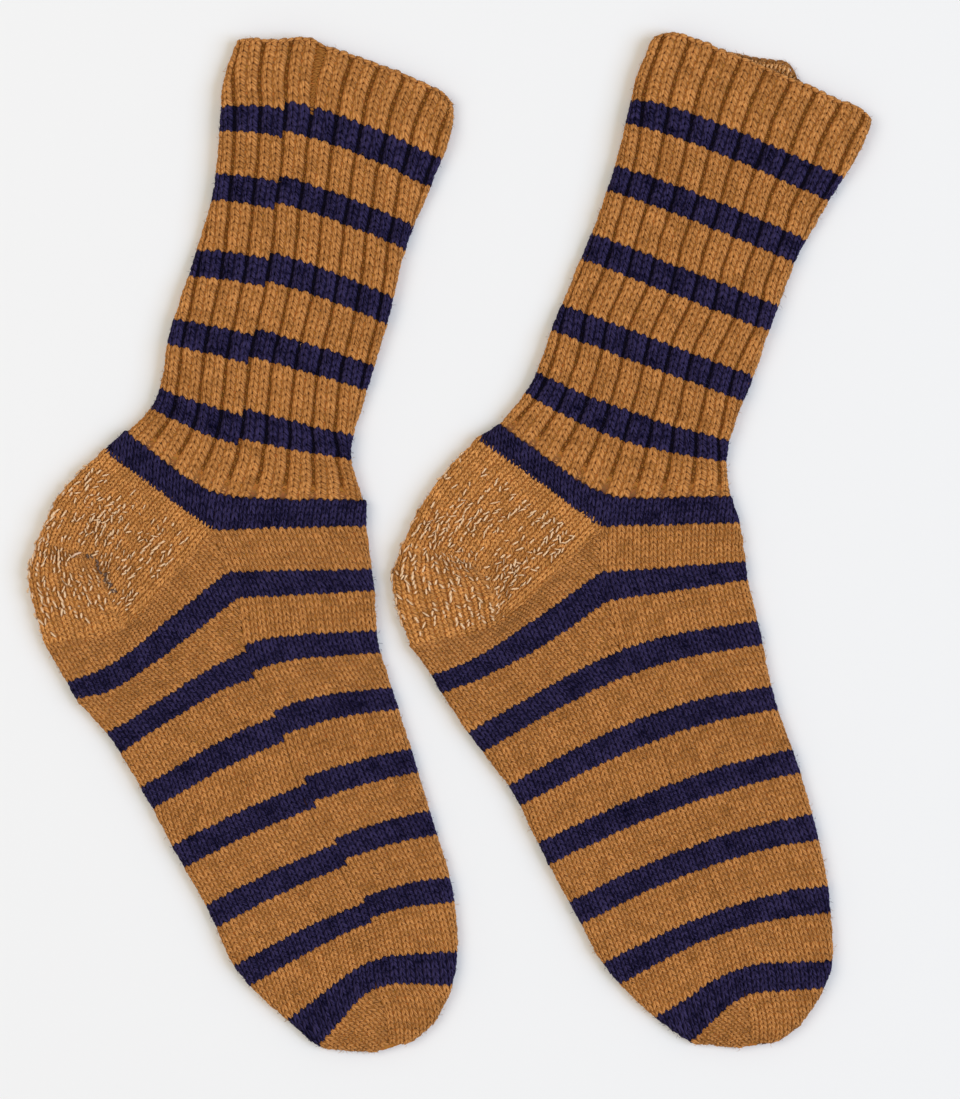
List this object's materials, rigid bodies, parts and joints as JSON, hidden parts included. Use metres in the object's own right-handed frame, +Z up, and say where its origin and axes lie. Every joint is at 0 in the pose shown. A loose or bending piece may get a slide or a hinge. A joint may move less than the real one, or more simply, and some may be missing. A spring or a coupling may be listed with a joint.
{
  "type": "pair of hand-knitted wool socks laid flat",
  "caption": "Pair of striped hand-knitted wool socks with ribbed legs, turned heels and round toes, laid flat side by side.",
  "frame": {"origin": "centre of the pair's bounding box, at the underside of the socks", "axes": "+Z up from the surface the socks lie on, +Y from the toes to the cuffs, +X from the heels to the insteps"},
  "size_m": [0.3526, 0.4248, 0.0074],
  "materials": {
    "wool_caramel": "matte hand-knitted wool, slightly fuzzy, caramel brown",
    "wool_navy": "matte hand-knitted wool, slightly fuzzy, dark navy, in the stripes",
    "heel_thread": "fine off-white reinforcing thread knitted in with the wool over the heels"
  },
  "bodies": {
    "root": {"sock_left": "wool_caramel", "sock_right": "wool_caramel"}
  },
  "joints": []
}
